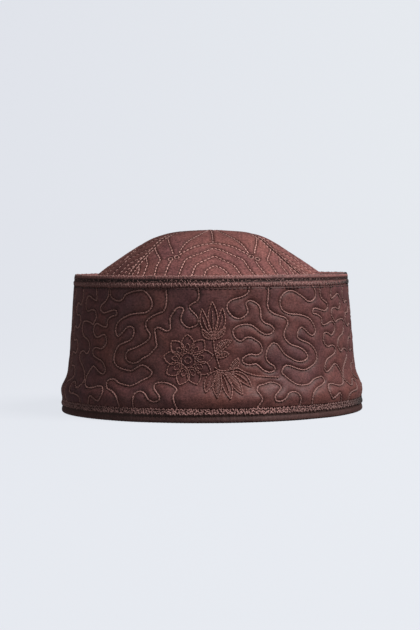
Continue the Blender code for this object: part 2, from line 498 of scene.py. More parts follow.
def crumple(first: Array, second: Array, size: float, seed: int) -> Array:
    """Soft unevenness, mostly from -1 to 1: a sum of sine waves in seeded directions.

    Each wave is 0.7 to 1.4 times size long. On a closed ring the caller passes points in
    space, so that the ends meet.

    Args:
        first, second: the places.
        size: middle length of a wave.
        seed: of the waves.

    Returns:
        One value for each place.
    """
    draw = np.random.default_rng(seed)
    total = np.zeros_like(first)
    for _ in range(WAVES):
        angle = draw.uniform(0.0, 2.0 * math.pi)
        start, scale = draw.uniform(0.0, 6.3), draw.uniform(0.7, 1.4)
        wave = 2.0 * math.pi / (size * scale)
        total = total + np.sin(wave * (first * math.cos(angle) + second * math.sin(angle)) + start)
    return total / WAVE_SUM


def mesh_piece(name: str, points: Array, quads: Array, tris: Array | None = None) -> Piece:
    """Makes a smooth-shaded mesh object from arrays.

    Args:
        name: the piece's name.
        points: (n, 3) in millimetres.
        quads: (m, 4) corner numbers, turned so that faces point outwards.
        tris: (k, 3) corner numbers, or None.

    Returns:
        The new object, at the origin.
    """
    tris = np.zeros((0, 3), int) if tris is None else tris
    corners = np.append(quads, tris)
    starts = np.append(np.arange(len(quads)) * 4, len(quads) * 4 + np.arange(len(tris)) * 3)
    mesh = bpy.data.meshes.new(name)
    mesh.vertices.add(len(points))
    mesh.vertices.foreach_set("co", (points * MM).astype(np.float32).reshape(-1))
    mesh.loops.add(len(corners))
    mesh.loops.foreach_set("vertex_index", corners.astype(np.int32))
    mesh.polygons.add(len(starts))
    mesh.polygons.foreach_set("loop_start", starts.astype(np.int32))
    mesh.update(calc_edges=True)
    mesh.shade_smooth()
    piece = bpy.data.objects.new(name, mesh)
    bpy.context.scene.collection.objects.link(piece)
    return piece


def point_value(piece: Piece, name: str, values: Array) -> None:
    """Stores one number for each vertex, which the materials read by name."""
    layer = piece.data.attributes.new(name, "FLOAT", "POINT")
    layer.data.foreach_set("value", values.astype(np.float32).reshape(-1))


def paint_side_shade(piece: Piece, both: float, one: float) -> None:
    """Stores the piece's painted shading: its sides are painted darker, the side on +X most.

    Args:
        piece: a piece whose points go round the cap's middle.
        both: how much darker both sides are painted; it grows with the square of how far to the side.
        one: how much darker the side on +X is painted besides, with the fourth power; below 0 it is painted
            lighter.
    """
    points = np.zeros(len(piece.data.vertices) * 3, np.float32)
    piece.data.vertices.foreach_get("co", points)
    points = points.reshape(-1, 3)
    side = points[:, 0] / np.hypot(points[:, 0], points[:, 1])
    point_value(piece, "painted_shading", 1.0 - both * side**2 - one * np.maximum(side, 0.0) ** 4)


def corner_map(piece: Piece, flat: Array) -> None:
    """Stores each vertex's flat coordinates, in millimetres, as the piece's UV map in metres."""
    corners = np.zeros(len(piece.data.loops), np.int32)
    piece.data.loops.foreach_get("vertex_index", corners)
    layer = piece.data.uv_layers.new(name="flat_cloth")
    layer.data.foreach_set("uv", (flat.reshape(-1, 2) * MM)[corners].astype(np.float32).reshape(-1))


def ring_quads(columns: int, rows: int, rows_close: bool) -> Array:
    """Corner numbers of a grid that closes round its columns, and round its rows if asked.

    Point (column, row) has the number column times rows plus row.
    """
    column, row = np.meshgrid(np.arange(columns), np.arange(rows if rows_close else rows - 1), indexing="ij")
    after, above = (column + 1) % columns, (row + 1) % rows
    quads = [column * rows + row, after * rows + row, after * rows + above, column * rows + above]
    return np.stack([part.reshape(-1) for part in quads], axis=1)


def tubes(points: Array, run: Array, normals: Array, radii: Array) -> Mesh:
    """Round threads that all have the same number of points.

    Each point carries a regular polygon of THREAD_SIDES corners, square to the run and with
    one corner along the cloth's normal. The ends are closed.

    Args:
        points: (threads, points, 3).
        run, normals: unit vectors that spread to the shape of points.
        radii: the radius at each point of a thread.

    Returns:
        The points, and the quads' corner numbers.
    """
    turn = np.arange(THREAD_SIDES)[:, None] * 2.0 * math.pi / THREAD_SIDES
    side = unit(np.cross(run, normals))
    up = np.cross(side, run)
    ring = up[..., None, :] * np.cos(turn) + side[..., None, :] * np.sin(turn)
    placed = points[..., None, :] + ring * radii[..., None, None]
    threads, count = points.shape[:2]
    step, corner = np.meshgrid(np.arange(count - 1) * THREAD_SIDES, np.arange(THREAD_SIDES), indexing="ij")
    here, after = step + corner, step + (corner + 1) % THREAD_SIDES
    wall = [after, after + THREAD_SIDES, here + THREAD_SIDES, here]
    lids = np.array([(0, low + 1, low + 2, low + 3) for low in range(0, THREAD_SIDES - 2, 2)])
    one = np.stack([part.reshape(-1) for part in wall], axis=1)
    one = np.concatenate([one, lids[:, ::-1], lids + (count - 1) * THREAD_SIDES])
    each = np.arange(threads) * count * THREAD_SIDES
    return placed.reshape(-1, 3), (one + each[:, None, None]).reshape(-1, 4)


def joined(meshes: list[Mesh]) -> Mesh:
    """Several meshes as one."""
    starts = np.cumsum([0] + [len(points) for points, _ in meshes[:-1]])
    quads = [part + start for (_, part), start in zip(meshes, starts)]
    return np.concatenate([points for points, _ in meshes]), np.concatenate(quads)


def thread_mesh(paths: list[tuple[Array, Array, Array]]) -> Mesh:
    """Threads carried along paths.

    Args:
        paths: the points, the cloth's normals and the radii of each.

    Returns:
        The points, and the quads' corner numbers.
    """
    return joined([
        tubes(points[None], unit(np.gradient(points, axis=0))[None], normals[None], radii)
        for points, normals, radii in paths
    ])


def short_stitches(starts: Array, ends: Array, normals: Array, radius: float, bow: float) -> Mesh:
    """Many short stitches at once, each a bowed capsule with STITCH_RINGS rings.

    A stitch runs straight from start to end, bows out along the normal by half a sine, and
    its radius shrinks to a half at both ends.

    Args:
        starts, ends, normals: (n, 3) arrays.
        radius: the thread's radius.
        bow: how far the middle stands out.

    Returns:
        The points, and the quads' corner numbers.
    """
    share = np.linspace(0.0, 1.0, STITCH_RINGS)
    arch = np.sin(math.pi * share)
    run, normals = unit(ends - starts)[:, None], normals[:, None]
    up = np.cross(unit(np.cross(run, normals)), run)
    points = starts[:, None] + (ends - starts)[:, None] * share[:, None] + up * (bow * arch)[:, None]
    return tubes(points, run, normals, radius * (0.5 + 0.5 * np.sqrt(arch)))


def band_routes() -> list[Array]:
    """Every quilting line round the band, in (along, height) and at even steps.

    The front lines and the side lines make half a turn. The other half is the same half turned
    upside down about the band's middle height, so that no two stretches look alike.
    """
    lines = [flowing(route) for route in FRONT_ROUTES]
    for route in SIDE_ROUTES:
        line = flowing(route)
        lines += [line, np.stack([2.0 * MIRROR_LINE - line[:, 0], line[:, 1]], axis=1)]
    for line in lines + [flowing(route) for route in BACK_ROUTES]:
        lines.append(np.array([TILE_TURN / 2.0 + 2.0 * MIRROR_LINE, MAP_TOP]) - line)
    kept = []
    for line in lines:
        inside = (line[:, 1] > SIZES.band_low - 0.6) & (line[:, 1] < SIZES.band_high + 0.6)
        first, last = np.argmax(inside), len(inside) - np.argmax(inside[::-1])
        if last - first > 8:
            kept.append(line[first:last])
    return kept


@dataclass(frozen=True)
class Leaf:
    """One almond leaf or petal of the embroidery: its base, its tip, its width and its bend."""

    base: tuple[float, float]
    tip: tuple[float, float]
    width: float
    bend: float = 0.0
    filled: bool = False

    def side(self, hand: float) -> Array:
        """One edge: along a bent midrib, out by half the width times a sine to the power 0.8."""
        share = np.linspace(0.0, 1.0, LEAF_POINTS)
        run = np.subtract(self.tip, self.base)
        across = np.array([-run[1], run[0]]) / np.hypot(*run)
        arch = np.sin(math.pi * share)
        out = hand * self.width / 2.0 * arch**0.8 + self.bend * arch
        return self.base + run * share[:, None] + across * out[:, None]

    def outline(self) -> Array:
        """Both edges as one closed line."""
        return evenly(np.concatenate([self.side(1.0), self.side(-1.0)[::-1]]), SPRAY_STEP)

    def rib(self) -> Array:
        """The midrib, short of the tip."""
        return evenly(self.side(0.0)[: LEAF_POINTS * 3 // 4], SPRAY_STEP)

    def filling(self) -> tuple[Array, Array]:
        """Ends of the satin stitches that lie across the leaf, SATIN_PITCH apart."""
        count = max(int(np.hypot(*np.subtract(self.tip, self.base)) / SATIN_PITCH), 3)
        pick = np.linspace(3, LEAF_POINTS - 4, count).astype(int)
        return self.side(SATIN_WIDTH)[pick], self.side(-SATIN_WIDTH)[np.maximum(pick - 2, 0)]


# The spray's stalk with its bud, sepals and leaves, and its stem with a fan of leaves under it
SPRAY: tuple[tuple[Points, tuple[Leaf, ...]], ...] = (
    (
        [(4.5, 31), (3, 36), (1.5, 42), (1, 49)],
        (
            Leaf((1, 49), (0.5, 68.5), 5.6),
            Leaf((0.6, 49), (-5.6, 64.5), 4.6, 1.6),
            Leaf((1.4, 49), (6.4, 65), 4.6, -1.6),
            Leaf((1.2, 47.5), (7.8, 54), 3.0, -0.8, True),
            Leaf((0.8, 47.5), (-5.6, 53), 3.0, 0.8, True),
            Leaf((2.2, 39.5), (11.2, 46.5), 4.4, 1.2, True),
            Leaf((2.6, 37), (9.8, 39), 3.6, 0.8, True),
        ),
    ),
    (
        [(1.5, 31.5), (5, 29.5), (10, 30), (14, 31), (19, 28.5), (25, 26.5), (32, 25.7), (39, 25)],
        (
            Leaf((10, 30), (15.2, 36.5), 3.8, -0.8, True),
            Leaf((3, 29.5), (-3.5, 17.5), 5.0, -1.2),
            Leaf((4, 29), (3, 14.5), 5.0, -0.6, True),
            Leaf((5.5, 28.8), (10, 13.8), 5.0, 0.6),
            Leaf((7.5, 28.8), (16.5, 16), 4.8, 0.9, True),
            Leaf((11, 28.9), (22, 20.3), 4.4, 1.1),
        ),
    ),
)


def circle_line(centre: tuple[float, float], radius: float) -> Array:
    """A closed round line."""
    angle = np.linspace(0.0, 2.0 * math.pi, max(int(radius * 16), 24))
    return np.array(centre) + radius * np.stack([np.cos(angle), np.sin(angle)], axis=1)


@dataclass
class FlowerSpray:
    """The generic spray that is embroidered on the front: a rosette, a tulip and a leafy stem."""

    rosette: tuple[float, float] = (-13.5, 35.5)
    rosette_radius: float = 14.5
    petals: int = 9
    petal_start: float = 4.3
    petal_width: float = 7.4
    inner_start: float = 5.4
    inner_share: float = 0.66
    inner_width: float = 2.6
    eye_radius: float = 4.0
    inner_eye_radius: float = 1.8
    lines: list[Array] = field(default_factory=list)
    fine_lines: list[Array] = field(default_factory=list)
    fillings: list[tuple[Array, Array]] = field(default_factory=list)

    def __post_init__(self) -> None:
        """Draws petals at equal angles round a double eye, then the stalk and the stem."""
        middle = np.array(self.rosette)
        for petal in range(self.petals):
            angle = 2.0 * math.pi * (petal + 0.3) / self.petals
            ray = np.array([math.cos(angle), math.sin(angle)])
            tip = ray * self.rosette_radius
            outer = Leaf(middle + ray * self.petal_start, middle + tip, self.petal_width)
            inner_tip = middle + tip * self.inner_share
            inner = Leaf(middle + ray * self.inner_start, inner_tip, self.inner_width)
            self.lines.append(outer.outline())
            self.fine_lines.append(inner.outline())
        self.lines.append(circle_line(self.rosette, self.eye_radius))
        self.fine_lines.append(circle_line(self.rosette, self.inner_eye_radius))
        for stem, leaves in SPRAY:
            self.lines.append(flowing(stem, SPRAY_STEP))
            for leaf in leaves:
                self.lines.append(leaf.outline())
                if leaf.filled:
                    self.fillings.append(leaf.filling())
                else:
                    self.fine_lines.append(leaf.rib())


@dataclass
class BandPiece:
    """The padded side wall, quilted with wandering cords that lie in grooves."""

    columns: int = 800
    outer_rows: int = 100
    inner_rows: int = 16
    groove_depth: float = 1.5
    groove_width: float = 4.4
    shade_width: float = 2.2
    cord_radius: float = 0.52
    outline_radius: float = 0.44
    fine_radius: float = 0.32
    bead_pitch: float = 1.8
    spray_weight: float = 0.82
    bead_height: float = 0.22
    top_tuck: float = 0.30
    top_tuck_width: float = 3.0
    hem_tuck: float = 0.42
    hem_tuck_width: float = 5.6
    hem_puff: float = 1.25
    hem_puff_height: float = 13.6
    hem_puff_width: float = 4.6
    slow_wave: float = 0.22
    slow_wave_size: float = 17.0
    fine_wave: float = 0.10
    fine_wave_size: float = 6.0
    inner_wave: float = 0.18
    inner_wave_size: float = 15.0
    pucker_pitch: float = 3.35
    pucker_height: float = 0.10
    pucker_fade: float = 2.2
    # Painted shade under the rim and above the hem: how dark it is and where it starts
    rim_shade: float = 0.65
    rim_shade_start: float = 75.2
    hem_shade: float = 0.32
    hem_shade_start: float = 12.8
    inner_map_shift: float = 100.0
    seed: int = 11

    def __post_init__(self) -> None:
        """Lays out the sewing and measures the cloth's distance from it."""
        self.surface = BandSurface()
        self.routes = band_routes()
        self.spray = FlowerSpray()
        corner = TILE_TURN / 2.0
        self.map = StitchMap((-corner, 0.0), (corner, MAP_TOP), True, TILE_TURN / MAP_COLUMNS, 5.5)
        for line in self.routes:
            self.map.sew(line)
        for line in self.spray.lines:
            self.map.sew(line, self.spray_weight)

    def lift(self, along: Array, height: Array) -> Array:
        """How far the cloth stands from the bare surface.

        Padding puffs up between the grooves and above the hem, cloth is drawn in at both
        edges, small puckers cross the edges, and the whole is a little uneven.
        """
        near = self.map.read(along, height)
        above_hem, under_rim = height - SIZES.band_low, SIZES.band_high - height
        lift = puffed(near, self.groove_depth, self.groove_width)
        lift = lift + puffed(under_rim + 0.5, self.top_tuck, self.top_tuck_width)
        lift = lift + puffed(above_hem + 0.3, self.hem_tuck, self.hem_tuck_width)
        lift = lift + self.hem_puff * bell(height - self.hem_puff_height, self.hem_puff_width)
        angle = along / TILE_RADIUS
        round_way = WAVE_RING * np.sin(angle) + 0.35 * height
        other_way = WAVE_RING * np.cos(angle) + height
        lift = lift + self.slow_wave * crumple(round_way, other_way, self.slow_wave_size, self.seed)
        fine = crumple(round_way * 1.3, other_way, self.fine_wave_size, self.seed + 1)
        lift = lift + self.fine_wave * fine * np.exp(-near / 2.5)
        pucker = np.sin(along * 2.0 * math.pi / self.pucker_pitch + 1.5 * np.sin(along / 9.0))
        edge = np.maximum(np.minimum(above_hem, under_rim), 0.0)
        return lift + self.pucker_height * pucker * np.exp(-edge / self.pucker_fade)

    def build_cloth(self) -> Piece:
        """The closed wall: outer rows with the relief, and plain inner rows a wall behind."""
        along = np.arange(self.columns) * TILE_TURN / self.columns
        outer = np.linspace(SIZES.band_high, SIZES.band_low, self.outer_rows)
        inner = np.linspace(SIZES.band_low, SIZES.band_high, self.inner_rows)
        first, second = np.meshgrid(along, outer, indexing="ij")
        front = self.surface.lifted(first, second, self.lift(first, second))
        inner_first, inner_second = np.meshgrid(along, inner, indexing="ij")
        ring = WAVE_RING * np.sin(inner_first / TILE_RADIUS)
        soft = self.inner_wave * crumple(ring, inner_second, self.inner_wave_size, self.seed + 2)
        back = self.surface.lifted(inner_first, inner_second, soft - SIZES.band_wall)
        quads = ring_quads(self.columns, self.outer_rows + self.inner_rows, True)[:, ::-1]
        piece = mesh_piece("quilted_band", np.concatenate([front, back], axis=1).reshape(-1, 3), quads)
        heights = np.concatenate([second, inner_second - self.inner_map_shift], axis=1)
        corner_map(piece, np.stack([np.broadcast_to(along[:, None], heights.shape), heights], axis=-1))
        # Painted shade: the cloth is darkened near the sewing, above the hem and under the rim, where
        # grooves and tucks fall into shade
        groove = 1.0 - np.clip(self.map.read(first, second) / self.shade_width, 0.0, 1.0)
        edge_shade = self.hem_shade * smooth_step((self.hem_shade_start - second) / 3.4)
        rim = self.rim_shade * smooth_step((second - self.rim_shade_start) / 1.2)
        edge_shade = np.maximum(edge_shade, rim)
        shade = np.concatenate([np.maximum(groove, edge_shade), np.zeros(inner_first.shape)], axis=1)
        point_value(piece, "groove", shade)
        return piece

    def cord(self, line: Array, radius: float, sink: float) -> tuple[Array, Array, Array]:
        """A cord along a line of the cloth, its radius swelling once for each stitch."""
        first, second = line[:, 0], line[:, 1]
        swell = 0.5 - 0.5 * np.cos(2.0 * math.pi * reaches(line) / self.bead_pitch)
        lift = self.lift(first, second) + sink + self.bead_height * swell
        points = self.surface.lifted(first, second, lift)
        return points, self.surface.normal(first, second), radius * (0.68 + 0.40 * swell)

    def build_cords(self) -> Piece:
        """The quilting cords."""
        paths = [self.cord(evenly(line, 0.6), self.cord_radius, 0.28) for line in self.routes]
        piece = mesh_piece("quilting_cord", *thread_mesh(paths))
        # Painted shade: the cords on the side on +X are darker
        paint_side_shade(piece, 0.0, 0.50)
        return piece

    def build_embroidery(self) -> Piece:
        """The spray: cord outlines, finer inner lines and satin stitches across the leaves."""
        paths = [self.cord(line, self.outline_radius, 0.20) for line in self.spray.lines]
        paths += [self.cord(line, self.fine_radius, 0.14) for line in self.spray.fine_lines]
        ends = [np.concatenate(part) for part in zip(*self.spray.fillings)]
        tops = [self.surface.lifted(*end.T, self.lift(*end.T) + 0.2) for end in ends]
        satin = short_stitches(*tops, self.surface.normal(*ends[0].T), self.fine_radius, 0.25)
        return mesh_piece("embroidered_spray", *joined([thread_mesh(paths), satin]))


@dataclass
class CrownPiece:
    """The low crown: satin quilted in a star of eight panels, with four seam ridges."""

    columns: int = 640
    outer_rows: int = 120
    inner_rows: int = 16
    groove_depth: float = 1.25
    groove_width: float = 2.2
    shade_width: float = 2.3
    stitch_pitch: float = 2.7
    stitch_share: float = 0.86
    thread_radius: float = 0.37
    stitch_bow: float = 0.24
    eyelet_radius: float = 1.5
    seam_spread: float = 2.0
    crease_depth: float = 1.50
    crease_width: float = 1.2
    crease_start: float = 36.0
    valley_depth: float = 0.35
    valley_width: float = 2.2
    valley_start: float = 18.0
    wave: float = 0.28
    wave_size: float = 21.0
    seam_reach: float = 84.0
    hidden_reach: float = 90.0
    # How much darker the crown's middle is, and out to what reach
    apex_darkening: float = 0.20
    apex_darkening_reach: float = 26.0
    inner_map_shift: float = 300.0
    seed: int = 21
    # Painted shade round the crown: the tone at each angle from the front, darker on the left
    tone_angles: tuple[float, ...] = (-180.0, -90.0, -50.0, -22.0, 0.0, 50.0, 90.0, 180.0)
    tones: tuple[float, ...] = (0.95, 0.58, 0.61, 0.92, 1.05, 1.05, 0.97, 0.95)

    def __post_init__(self) -> None:
        """Lays out the sewing and measures the cloth's distance from it."""
        self.surface = CrownSurface()
        self.lines = self.sewing()
        reach = self.surface.length + 2.0
        self.map = StitchMap((-reach, -reach), (reach, reach), False, 0.5, 4.5)
        for line in self.lines + self.eyelets(self.eyelet_radius) + self.eyelets(0.45):
            self.map.sew(line)

    def turned(self, line: Array, degrees: float) -> Array:
        """The line turned about the apex towards the right.

        Panels on the gores' middles are wider than those on the seams: each angle moves by
        PANEL_SPREAD times the sine of four times the angle.
        """
        reach = np.hypot(line[:, 0], line[:, 1]) * TAKE_UP
        angle = np.arctan2(line[:, 0], line[:, 1]) + math.radians(degrees)
        angle = angle + math.radians(PANEL_SPREAD) * np.sin(GORES * angle) + math.radians(PANEL_TURN)
        return np.stack([reach * np.sin(angle) + STAR_SHIFT, reach * np.cos(angle)], axis=1)

    def eyelets(self, radius: float) -> list[Array]:
        """A ring of the radius at the middle of each eyelet."""
        places = EYELETS + [(-across, out) for across, out in EYELETS]
        turns = np.arange(0, PANELS, 2) * 360.0 / PANELS
        return [self.turned(circle_line(place, radius), turn) for turn in turns for place in places]

    def sewing(self) -> list[Array]:
        """Every line of running stitch, in each panel and mirrored in it."""
        lines = []
        for panel in range(PANELS):
            chart = SEAM_PANEL if panel % 2 else GORE_PANEL
            half = [flowing(line) for line in chart.curves]
            half += [evenly(np.array(line, float), CHART_STEP) for line in chart.chevrons]
            mirrored = [line * (-1.0, 1.0) for line in half]
            half = [flowing(chart.centre), flowing(VALLEY_LINE)] + half + mirrored
            if panel % 2:
                spread = (-self.seam_spread, self.seam_spread)
                half += [flowing(SEAM_LINE) + (shift, 0.0) for shift in spread]
            lines += [self.turned(line, 360.0 * panel / PANELS) for line in half]
        return lines

    def around(self, across: Array, out: Array, parts: float) -> Array:
        """Arc from the nearest of some even rays from the star's middle, the first half a part on."""
        angle = np.arctan2(across - STAR_SHIFT, out) - math.radians(PANEL_TURN)
        part = 2.0 * math.pi / parts
        return (np.mod(angle, part) - part / 2.0) * np.hypot(across, out)

    def crease(self, across: Array, out: Array) -> Array:
        """How near a place is to a gore seam: 1 on it, and a bell across it."""
        fade = smooth_step((np.hypot(across, out) - self.crease_start) / 6.0)
        return bell(self.around(across, out, GORES), self.crease_width) * fade

    def lift(self, across: Array, out: Array) -> Array:
        """Grooves at the sewing, a crease between each pair of seam lines, and soft waves."""
        reach = np.hypot(across, out)
        valley = bell(self.around(across, out, PANELS), self.valley_width)
        valley = valley * smooth_step((reach - self.valley_start) / 30.0)
        lift = puffed(self.map.read(across, out), self.groove_depth, self.groove_width)
        lift = lift - self.crease_depth * self.crease(across, out) - self.valley_depth * valley
        lift = lift + self.wave * crumple(across, out, self.wave_size, self.seed)
        return lift * (1.0 - smooth_step((reach - self.seam_reach) / 6.0))

    def painted_shading(self, across: Array, out: Array) -> Array:
        """Painted shading of the satin: the left, which turns away from the key light, is painted darker.

        The tone is read between tone_angles, and the middle is darker.
        """
        tone = np.interp(np.degrees(np.arctan2(across - STAR_SHIFT, out)), self.tone_angles, self.tones)
        return tone - self.apex_darkening * (1.0 - smooth_step((np.hypot(across, out) - self.apex_darkening_reach) / 28.0))

    def build_cloth(self) -> Piece:
        """Outer rows from the apex out, and inner rows a wall below, closed at both middles."""
        angle = np.arange(self.columns) * 2.0 * math.pi / self.columns
        rows = np.linspace(0.8, self.surface.length, self.outer_rows)
        turn, reach = np.meshgrid(angle, rows, indexing="ij")
        across, out = reach * np.sin(turn), reach * np.cos(turn)
        top = self.surface.lifted(across, out, self.lift(across, out))
        rows = np.linspace(self.surface.length, 3.0, self.inner_rows)
        turn, reach = np.meshgrid(angle, rows, indexing="ij")
        across_in, out_in = reach * np.sin(turn), reach * np.cos(turn)
        under = self.surface.lifted(across_in, out_in, np.full(reach.shape, -SIZES.crown_wall))
        rows = self.outer_rows + self.inner_rows
        points = np.concatenate([top, under], axis=1).reshape(-1, 3)
        apexes = [top[:, 0].mean(axis=0), under[:, -1].mean(axis=0)]
        first = np.arange(self.columns) * rows
        after = np.roll(first, -1)
        high, low = np.full(self.columns, len(points)), np.full(self.columns, len(points) + 1)
        lids = [np.stack([first, after, high], 1), np.stack([after + rows - 1, first + rows - 1, low], 1)]
        quads = ring_quads(self.columns, rows, False)[:, ::-1]
        piece = mesh_piece("quilted_crown", np.append(points, apexes, axis=0), quads, np.concatenate(lids))
        flat = [np.stack([across, out], -1), np.stack([across_in + self.inner_map_shift, out_in], -1)]
        flat = np.concatenate(flat, axis=1).reshape(-1, 2)
        corner_map(piece, np.append(flat, [[0.0, 0.0], [self.inner_map_shift, 0.0]], axis=0))
        # Painted shade: the cloth is darkened along the sewing's grooves and the seam creases
        groove = 1.0 - np.clip(self.map.read(across, out) / self.shade_width, 0.0, 1.0)
        groove = np.maximum(groove, 0.9 * self.crease(across, out))
        for name, values, inside, middles in (
            ("groove", groove, 0.0, [0.0, 0.0]),
            ("painted_shading", self.painted_shading(across, out), 1.0, [0.80, 1.0]),
        ):
            values = np.concatenate([values, np.full(reach.shape, inside)], axis=1)
            point_value(piece, name, np.append(values, middles))
        return piece

    def build_stitches(self) -> Piece:
        """Running stitches: a dash of thread for each stitch, with a gap where it dives."""
        starts, ends = [], []
        for line in self.lines:
            length = reaches(line)[-1]
            count = max(int(length / self.stitch_pitch), 1)
            pitch = length / count
            begin = (np.arange(count) + 0.5 * (1.0 - self.stitch_share)) * pitch
            starts.append(points_at(line, begin))
            ends.append(points_at(line, begin + pitch * self.stitch_share))
        begin, end = np.concatenate(starts), np.concatenate(ends)
        seen = np.hypot(*end.T) < self.hidden_reach
        begin, end = begin[seen], end[seen]
        tops = [self.surface.lifted(*place.T, self.lift(*place.T) + 0.14) for place in (begin, end)]
        normals = self.surface.normal(*begin.T)
        stitches = short_stitches(*tops, normals, self.thread_radius, self.stitch_bow)
        paths = []
        for ring in self.eyelets(self.eyelet_radius):
            points = self.surface.lifted(*ring.T, self.lift(*ring.T) + 0.12)
            radii = np.full(len(ring), self.thread_radius * 0.9)
            paths.append((points, self.surface.normal(*ring.T), radii))
        rings = thread_mesh(paths)
        piece = mesh_piece("crown_stitching", *joined([stitches, rings]))
        # Painted shade: stitches near the apex and away from the front are darker, and they take the cloth's
        # painted shading too; the eyelet rings get a flat 0.72
        side = np.abs(np.arctan2(begin[:, 0] - STAR_SHIFT, begin[:, 1] + 1e-6)) / math.pi
        tone_with_painted_shade = 0.66 + 0.34 * smooth_step((np.hypot(*begin.T) - 35.0) / 8.0)
        tone_with_painted_shade = tone_with_painted_shade * (1.0 - 0.22 * smooth_step((side - 0.2) / 0.1)) * self.painted_shading(*begin.T)
        painted_shading = np.repeat(tone_with_painted_shade, STITCH_RINGS * THREAD_SIDES)
        point_value(piece, "painted_shading", np.append(painted_shading, np.full(len(rings[0]), 0.72)))
        return piece


# Sections of the two rolled edges, as (radius, height), charted and closed
TOP_EDGE_SECTION: Points = [
    (83.2, 76.4), (83.8, 76.9), (84.0, 77.8), (83.9, 79.2), (83.6, 80.4), (83.75, 81.5), (83.7, 82.3),
    (83.3, 83.0), (82.5, 83.5), (81.1, 83.0), (80.3, 81.7), (80.0, 79.5), (80.4, 77.4),
    (82.0, 76.4), (83.2, 76.4),
]
HEM_SECTION: Points = [
    (90.2, 8.5), (91.2, 8.3), (91.5, 7.4), (91.8, 5.8), (92.0, 4.8), (91.8, 3.9), (92.0, 3.1), (92.3, 2.0),
    (92.2, 0.6), (91.2, 0.08), (89.6, 0.08), (88.2, 0.5), (87.5, 4.0), (87.9, 7.4), (89.0, 8.3), (90.2, 8.5),
]


@dataclass
class RolledEdge:
    """A strip of satin rolled round the cloth's edge, puckered by the stitches across it.

    Fields:
        name: the piece's name.
        section: its closed section.
        pucker_pitch, pucker_depth: the puckers' length along the edge and their height.
        neck, neck_width: height and half width of the band where thread pulls the roll in, which is painted
            in shade.
        side_shading: how much darker the side on +X is painted; below 0 it is painted lighter.
        seed: of the unevenness.
        columns: of the grid.
        step: distance between the section's points.
        wander, wander_size: how far the puckers' phase drifts, and over what length.
        slow_wave, slow_wave_size: the slower unevenness's height and length.
    """

    name: str
    section: Points
    pucker_pitch: float
    pucker_depth: float
    neck: float
    neck_width: float
    side_shading: float
    seed: int
    columns: int = 960
    step: float = 0.45
    wander: float = 1.6
    wander_size: float = 9.0
    slow_wave: float = 0.10
    slow_wave_size: float = 22.0

    def build(self) -> Piece:
        """Turns the section round the cap.

        Each point moves along the section's outward normal by a pucker: a sine along the ring
        whose phase wanders, with a slower unevenness added.
        """
        line = flowing(self.section, self.step)[:-1]
        run = unit(np.roll(line, -1, axis=0) - np.roll(line, 1, axis=0))
        middle = line.mean(axis=0)
        normal = np.stack([run[:, 1], -run[:, 0]], axis=1)
        if np.sum(normal * (line - middle)) < 0.0:
            normal = -normal
        angle = np.arange(self.columns) * 2.0 * math.pi / self.columns
        arc = WAVE_RING * np.sin(angle), WAVE_RING * np.cos(angle)
        around = angle * line[:, 0].mean()
        puckers = round(2.0 * math.pi * line[:, 0].mean() / self.pucker_pitch)
        drift = self.wander * crumple(*arc, self.wander_size, self.seed)
        pucker = self.pucker_depth * np.sin(angle * puckers + drift)
        slow = self.slow_wave * crumple(*arc, self.slow_wave_size, self.seed + 1)
        outside = smooth_step((line[:, 0] - middle[0]) / 1.5)
        move = (pucker + slow)[:, None] * outside
        radius = line[:, 0] + normal[:, 0] * move
        height = np.maximum(line[:, 1] + normal[:, 1] * move, 0.05)
        turn = angle[:, None]
        points = np.stack([radius * np.sin(turn), -radius * np.cos(turn), height], axis=-1)
        quads = ring_quads(self.columns, len(line), True)
        if np.sum(line[:, 0] * np.roll(line[:, 1], -1) - np.roll(line[:, 0], -1) * line[:, 1]) < 0.0:
            quads = quads[:, ::-1]
        piece = mesh_piece(self.name, points.reshape(-1, 3), quads)
        across = np.arange(len(line)) * self.step
        corner_map(piece, np.stack(np.broadcast_arrays(around[:, None], across), axis=-1))
        # Painted shade: the roll is darkened in the puckers' troughs and along the neck
        fold_shade = 0.4 * smooth_step((0.02 - move) / 0.2)
        neck = smooth_step(1.4 - np.abs(line[:, 1] - self.neck) / self.neck_width) * outside
        point_value(piece, "groove", np.maximum(fold_shade, neck))
        paint_side_shade(piece, 0.0, self.side_shading)
        return piece


@dataclass(frozen=True)
class StitchRow:
    """A row of slanting stitches round the cap, between two heights.

    Fields:
        low, high: heights of the stitches' ends.
        low_radius, high_radius: the cloth's radii there.
        pitch: distance between stitches.
        lean: how far round the cap a stitch's end lies from its start.
        zigzag: whether every other stitch leans the other way.
        radius: the thread's radius.
        bow: how far a stitch's middle stands out.
        jitter: unevenness of its ends.
        seed: of the unevenness.
    """

    low: float
    high: float
    low_radius: float
    high_radius: float
    pitch: float
    lean: float
    zigzag: bool
    radius: float
    bow: float
    jitter: float
    seed: int

    def mesh(self) -> Mesh:
        """The row's points and quads."""
        middle = (self.low_radius + self.high_radius) / 2.0
        count = 2 * round(math.pi * middle / self.pitch)
        angle = np.arange(count) * 2.0 * math.pi / count
        hand = np.where(np.arange(count) % 2 == 0, 1.0, -1.0) if self.zigzag else 1.0
        shake = np.random.default_rng(self.seed).uniform(-self.jitter, self.jitter, (2, 2, count))
        ends = []
        for side, height, radius, (round_it, up) in (
            (-0.5, self.low, self.low_radius, shake[0]),
            (0.5, self.high, self.high_radius, shake[1]),
        ):
            turn = angle + (hand * self.lean * side + round_it) / middle
            ends.append(np.stack([radius * np.sin(turn), -radius * np.cos(turn), height + 0.7 * up], axis=1))
        normals = np.stack([np.sin(angle), -np.cos(angle), np.zeros(count)], axis=1)
        return short_stitches(*ends, normals, self.radius, self.bow)


